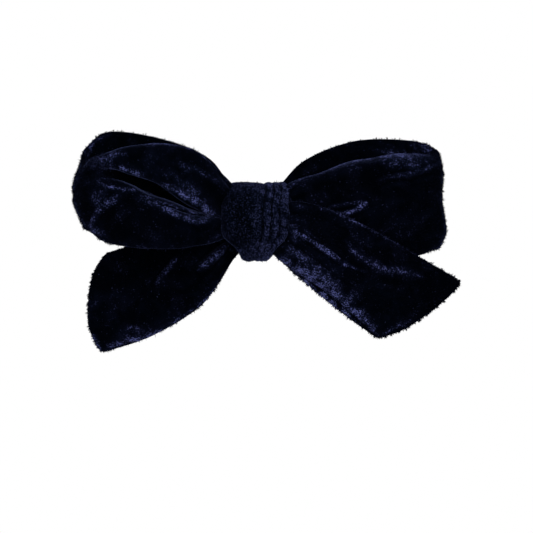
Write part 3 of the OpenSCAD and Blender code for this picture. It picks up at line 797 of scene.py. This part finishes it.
def knot_grid():
    """The knot's band: one broad lobe at the left, then narrow pleats that meet under the knot."""
    s = rows_for(190)
    turn = np.arange(260) / 260 * 2 * math.pi
    lobe = 0.75 * np.sin(math.pi * np.clip(s / PLEATS_AT, 0, 1)) ** 0.8
    pleated = (s > PLEATS_AT) & (s < PLEATS_AT + 3 * PLEAT_W)
    bow = np.abs(np.sin(math.pi * (s - PLEATS_AT) / PLEAT_W)) * pleated
    pleats = 0.90 * bow ** 0.8
    tuck = -1.9 * (np.exp(-(s / 0.045) ** 2) + np.exp(-((1 - s) / 0.045) ** 2))
    grow = (lobe + pleats + tuck)[:, None]
    narrow = 1 - 0.45 * (1 - np.cos(turn)) / 2
    under = smooth_step((-np.sin(turn) - 0.3) / 0.6)
    over = smooth_step((np.sin(turn) - 0.3) / 0.6)
    left = KNOT_X + KNOT_W * (-0.43 * narrow + 0.20 * under)
    right = KNOT_X + KNOT_W * (0.5 * narrow - 0.18 * under + 0.07 * over)
    sway = 0.8 * np.sin(turn * 1.0 + 0.5) * np.sin(math.pi * s)[:, None]
    x = left + s[:, None] * (right - left) + sway
    y = KNOT_Y - (KNOT_D / 2 - WRAP_T / 2 + grow) * np.cos(turn)
    z = KNOT_Z + (KNOT_H / 2 - WRAP_T / 2 + 0.7 * grow) * np.sin(turn)
    grid = np.stack([x, y, z], axis=-1)
    normal = grid_normals(grid, True)
    grid = crumple(grid, normal, 6.0, 0.35, 5)
    # Painted shade in the grooves between the pleats, and painted highlights on the pleat ridges (shine).
    groove_painted_shade = pleated * np.exp(-(bow / 0.5) ** 2)
    shine = [0.32 + 0.5 * noise.noise(Vector(p) / 1.6) for p in grid.reshape(-1, 3)]
    shine = np.clip(shine, 0.05, 0.7).reshape(grid.shape[:2])
    crush_and_painted_light = open_patches(grid, 3) + shine * (bow ** 4)[:, None] - 0.9 * groove_painted_shade[:, None]
    # Lighter on the lobe towards the pleats, and painted sheen where the band turns over the knot's top and
    # bottom.
    crush_and_painted_light = crush_and_painted_light + 0.08 * smooth_step((s[:, None] - 0.30) / 0.2) * ~pleated[:, None]
    crush_and_painted_light = crush_and_painted_light + 0.16 * smooth_step((np.abs(np.sin(turn)) - 0.55) / 0.3)[None]
    return crumple(grid, normal, 2.4, 0.16, 6), crush_and_painted_light


def velvet_piece(name, node, surfaced, cloth, thick, ring, edges, surface, length):
    """A cloth piece with its pile, in place of its CAD solid."""
    grid, crush_and_painted_light = surfaced
    half = rounded(edge_distance(grid), thick / 2)
    if not ring:
        half = np.minimum(half, np.maximum(rounded(end_distance(grid), thick / 2), 0.08))
    piece = sheet_object(name, grid, half, ring, cloth)
    # Painted highlights on the folds: points that stand out from the cloth round them are made lighter.
    crush_and_painted_light = np.clip(crush_and_painted_light + 0.25 * ridges(grid, grid_normals(grid, ring), ring, 3), 0, 1)
    both = np.concatenate([crush_and_painted_light, crush_and_painted_light[-2:0:-1]]).astype(np.float32)
    piece.data.attributes.new("crush_and_painted_light", "FLOAT", "POINT").data.foreach_set("value", both.ravel())
    places, aims, shades = scatter(grid, half, ring, crush_and_painted_light, edges, surface)
    fuzz = pile(f"{name}_pile", places, aims, length, shades)
    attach(piece, "bow")
    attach(fuzz, "bow")
    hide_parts(node)
    return piece


velvet_piece("velvet_loops", "loop_band", loop_grid(), NAVY, VELVET_T, True,
             7000, 34000, 0.8)
velvet_piece("velvet_tails", "tail_strip", tail_grid(), NAVY, VELVET_T, False,
             7500, 24000, 0.8)
velvet_piece("velvet_knot", "knot_wrap", knot_grid(), NAVY_DIM_SHEEN, WRAP_T, True,
             800, 3500, 0.7)

# ---------------------------------------------------------------- trim and clip


def tube_object(name, path, radius, material, side_of, ring=False, sides=12, plies=0, lay=4.0):
    """A closed tube along a path in the plane square to side_of; with plies, a twisted thread."""
    path = np.asarray(path, float)
    if ring:
        ahead = np.roll(path, -1, axis=0) - np.roll(path, 1, axis=0)
    else:
        ahead = np.gradient(path, axis=0)
    ahead = unit(ahead)
    side = unit(np.cross(ahead, np.array(side_of, float)))
    other = np.cross(ahead, side)
    gone = np.concatenate([[0], np.cumsum(np.linalg.norm(np.diff(path, axis=0), axis=1))])
    turn = np.arange(sides) / sides * 2 * math.pi
    swell = 1 + (0.16 * np.cos(plies * turn[None] + 2 * math.pi * gone[:, None] / lay) if plies else 0)
    wide = radius * swell * np.ones((len(path), sides))
    points = (path[:, None] + wide[..., None] * (np.cos(turn)[None, :, None] * side[:, None]
                                                + np.sin(turn)[None, :, None] * other[:, None]))
    n = len(path)
    index = np.arange(n * sides).reshape(n, sides)
    around = np.roll(index, -1, axis=1)
    a, b = (index, np.roll(index, -1, axis=0)) if ring else (index[:-1], index[1:])
    c, d = (around, np.roll(around, -1, axis=0)) if ring else (around[:-1], around[1:])
    faces = np.stack([a, b, d, c], axis=-1).reshape(-1, 4).tolist()
    if not ring:
        faces += [index[0].tolist(), index[-1][::-1].tolist()]
    piece = mesh_object(name, points.reshape(-1, 3), faces, material)
    recalculate(piece)
    return piece


def placed(piece, node, body="bow"):
    """Hangs a piece on its body in place of its CAD solid."""
    if body:
        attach(piece, body)
    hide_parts(node)
    return piece


def gather_thread():
    """One thread wound round the gathered velvet, inside the knot."""
    turns, pitch = 5, 0.62
    a = np.linspace(0, turns * 2 * math.pi, turns * 72)
    x = (a / (2 * math.pi) - turns / 2) * pitch
    path = np.stack([x, KNOT_Y - 5.4 * np.cos(a), KNOT_Z + 9.9 * np.sin(a)], axis=1)
    placed(tube_object("sewing_thread_binding", path, 0.24, THREAD, (1, 0, 0), plies=3, lay=1.6),
           "gather_thread")


def wrap_stitches():
    """Slip stitches over the closing edge of the knot's band; each dives into the velvet."""
    whole = None
    for k, degrees in enumerate((129, 140, 220, 231)):
        a = math.radians(degrees)
        share = np.linspace(-1, 1, 25)
        out = 0.35 + 0.5 * np.cos(share * math.pi / 2)
        slant = 0.35 * share * (1 if k % 2 else -1)
        path = np.stack([share * 1.15,
                         KNOT_Y - (KNOT_D / 2 - WRAP_T / 2 + WRAP_T / 2 + out - 0.5) * np.cos(a),
                         KNOT_Z + (KNOT_H / 2 + (out - 0.5) * 0.5) * np.sin(a) + slant], axis=1)
        stitch = tube_object(f"slip_stitch_{k}", path, 0.25, THREAD, (0, 1, 0), plies=3, lay=1.2)
        if whole is None:
            whole = stitch
            whole.name = "slip_stitches"
        else:
            whole = joined(whole, stitch)
    placed(whole, "wrap_stitches")


def joined(a, b):
    """Adds piece b's mesh to piece a."""
    work = bmesh.new()
    work.from_mesh(a.data)
    work.from_mesh(b.data)
    work.to_mesh(a.data)
    work.free()
    bpy.data.objects.remove(b)
    return a


def felt_pad():
    """A soft-edged felt pad, flat in the middle."""
    half_l, half_w, thick, y = 15.0, 6.5, 1.2, -3.0
    straight = half_l - half_w
    along, bend = np.linspace(-straight, straight, 37), np.linspace(0, math.pi, 45)[1:-1]
    end = np.stack([straight + half_w * np.sin(bend), half_w * np.cos(bend)], axis=1)
    edge = np.concatenate([[(x, half_w) for x in along], end, [(x, -half_w) for x in along[::-1]], -end])
    heart = np.stack([np.clip(edge[:, 0], -straight, straight), 0 * edge[:, 1]], axis=1)
    steps = np.concatenate([[0, 0.02, 0.06, 0.12], np.linspace(0.2, 1, 12)])
    rows = edge[None] + (heart - edge)[None] * steps[:, None, None]
    half = rounded(steps * half_w, thick / 2)[:, None] * np.ones(len(edge))
    wobble = np.array([noise.noise(Vector((q[0], 0, q[1])) / 3.0) for q in rows.reshape(-1, 2)])
    half = half * (1 + 0.10 * wobble.reshape(half.shape))
    front = np.stack([rows[..., 0], y - half, rows[..., 1]], axis=-1)
    back = np.stack([rows[..., 0], y + half, rows[..., 1]], axis=-1)
    skin = np.concatenate([front[::-1], back[1:]])
    m, n = skin.shape[:2]
    index = np.arange(m * n).reshape(m, n)
    a, b = index[:-1], index[1:]
    faces = np.stack([a, b, np.roll(b, -1, axis=1), np.roll(a, -1, axis=1)], axis=-1).reshape(-1, 4)
    pad = mesh_object("felt_backing", skin.reshape(-1, 3), faces, FELT)
    work = bmesh.new()
    work.from_mesh(pad.data)
    bmesh.ops.remove_doubles(work, verts=work.verts, dist=0.02 * MM)
    work.to_mesh(pad.data)
    work.free()
    recalculate(pad)
    i = rng.integers(0, len(edge), 1400)
    out = unit(edge[i] - heart[i])
    spread = rng.uniform(-1, 1, len(i))
    roots = np.stack([edge[i, 0], y + 0.4 * spread, edge[i, 1]], axis=1)
    aims = np.stack([out[:, 0], 0.8 * spread, out[:, 1]], axis=1)
    fuzz = pile("felt_backing_fuzz", roots, aims, 0.7, jitter=0.7, thick=0.022, material=FELT)
    placed(pad, "felt_pad")
    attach(fuzz, "bow")


def jaw_lining():
    """Ribbon over the fixed jaw's front, turned round both of its ends and glued inside."""
    half_w, plate_mid, gap, tip, thumb = 4.75, -1.6, 0.62, -30, 28
    window = (PIVOT[0] - 4.5, PIVOT[0] + 4.5)
    rows = []
    for z in np.linspace(-half_w, half_w, 41):
        round_in = 4.7 - math.sqrt(max(0, 4.8**2 - z**2)) - 0.1
        left, right = tip + round_in, thumb - round_in
        bend = np.linspace(0, math.pi, 13)
        inside = np.linspace(window[0], left, 60)
        over = np.linspace(left, right, 110)[1:-1]
        back = np.linspace(right, window[1], 40)
        rows.append([(x, plate_mid + gap, z) for x in inside]
                    + [(left - 0.4 * gap * math.sin(b), plate_mid + gap * math.cos(b), z) for b in bend[1:-1]]
                    + [(x, plate_mid - gap, z) for x in over]
                    + [(right + 0.4 * gap * math.sin(b), plate_mid - gap * math.cos(b), z) for b in bend[1:-1]]
                    + [(x, plate_mid + gap, z) for x in back])
    grid = np.array(rows)
    half = 0.19 * np.minimum(1, 0.55 + edge_distance(grid) / 0.5)
    ribbon = sheet_object("grosgrain_lining", grid, half, False, RIBBON)
    placed(ribbon, "jaw_lining")


def grip_strip():
    """Moulded strip with rounded ribs, on the fixed jaw's inside."""
    x = np.linspace(-27, -4.6, 340)
    z = np.linspace(-3.9, 3.9, 30)
    rib = 0.5 - 0.5 * np.cos(2 * math.pi * (x + 27) / 1.6)
    top = -0.35 + 0.33 * smooth_step(rib * 1.6)
    low = -0.78
    grid = np.stack(np.broadcast_arrays(x[None], ((top + low) / 2)[None], z[:, None]), axis=-1).astype(float)
    half = ((top - low) / 2)[None] * np.ones((len(z), 1))
    edge = np.minimum(edge_distance(grid), end_distance(grid))
    half = np.maximum(half * np.sqrt(1 - np.clip(1 - edge / 0.35, 0, 1) ** 2), 0.04)
    placed(sheet_object("silicone_grip", grid, half, False, SILICONE), "grip_strip")


def torsion_spring():
    """The spring's wire: a leg on each jaw and five and a half turns round the pin."""
    x, y = PIVOT[0], PIVOT[1]
    turns, r, half = 5.5, 1.5, 2.0
    a = -math.pi / 2 - np.linspace(0, turns * 2 * math.pi, 330)
    coil = np.stack([x + r * np.cos(a), y + r * np.sin(a), np.linspace(-half, half, len(a))], axis=1)
    first = spline([(x + 11, -0.4, -half), (x + 8, -0.15, -half), (x + 5, 0.1, -half), (x + 2.4, 0.3, -half),
                    coil[0]], np.linspace(0, 1, 40))[:-1]
    last = spline([coil[-1], (x + 2.2, 3.9, half), (x + 5, 5.0, half), (x + 7.5, 5.95, half),
                   (x + 10, 6.9, half)], np.linspace(0, 1, 40))[1:]
    spring = tube_object("wire_spring", np.concatenate([first, coil, last]), 0.35, WIRE, (0, 0, 1))
    placed(spring, "torsion_spring", None)
    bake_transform(spring)


def metal(node, material, edge):
    """Finish and softened edges for a steel piece of the clip."""
    piece = bpy.data.objects[node]
    piece.data.materials.clear()
    piece.data.materials.append(material)
    bevel = piece.modifiers.new("soft_edges", "BEVEL")
    bevel.width = edge * MM
    bevel.segments = 2
    bevel.limit_method = "ANGLE"
    bevel.angle_limit = math.radians(35)
    bevel.harden_normals = False


gather_thread()
wrap_stitches()
felt_pad()
jaw_lining()
grip_strip()
torsion_spring()
metal("fixed_jaw", NICKEL, 0.12)
metal("moving_jaw", NICKEL, 0.12)
metal("hinge_pin", PIN, 0.15)

# ---------------------------------------------------------------- stage


def pale_floor():
    """A round pale floor, well under the bow."""
    rim = [(240 * math.cos(a), 240 * math.sin(a), -130) for a in np.arange(96) / 96 * 2 * math.pi]
    mesh_object("pale_floor", rim, [range(96)], plain_material("pale_paper", (0.93, 0.93, 0.93), 0.9))


def soft_light(name, place, aim, size, power):
    lamp = bpy.data.lights.new(name, "AREA")
    lamp.shape = "RECTANGLE"
    lamp.size, lamp.size_y = (s * MM for s in size)
    lamp.energy = power
    light = bpy.data.objects.new(name, lamp)
    light.location = Vector(place) * MM
    light.rotation_euler = (Vector(aim) - Vector(place)).to_track_quat("-Z", "Y").to_euler()
    bpy.context.scene.collection.objects.link(light)


def camera():
    """Straight on, from far enough away that the bow's depth changes its outline little."""
    lens, wide, centre = 200, 173.2, (4.06, -12, -15.44)
    data = bpy.data.cameras.new("camera")
    data.lens, data.sensor_width = lens, 36
    data.clip_start, data.clip_end = 0.05, 20
    eye = bpy.data.objects.new("camera", data)
    eye.location = Vector((centre[0], centre[1] - wide * lens / 36, centre[2])) * MM
    eye.rotation_euler = (math.pi / 2, 0, 0)
    bpy.context.scene.collection.objects.link(eye)
    bpy.context.scene.camera = eye


pale_floor()
soft_light("key", (-250, -520, 520), (0, -10, 0), (420, 420), 6.0)
soft_light("fill", (480, -420, 120), (0, -10, 0), (360, 500), 2.5)
soft_light("front", (0, -700, 60), (0, -10, 0), (500, 400), 3.0)
camera()

world = bpy.data.worlds.new("studio")
world.use_nodes = True
world.node_tree.nodes["Background"].inputs["Color"].default_value = (1, 1, 1, 1)
world.node_tree.nodes["Background"].inputs["Strength"].default_value = 1.0
bpy.context.scene.world = world
bpy.context.scene.view_settings.view_transform = "Standard"
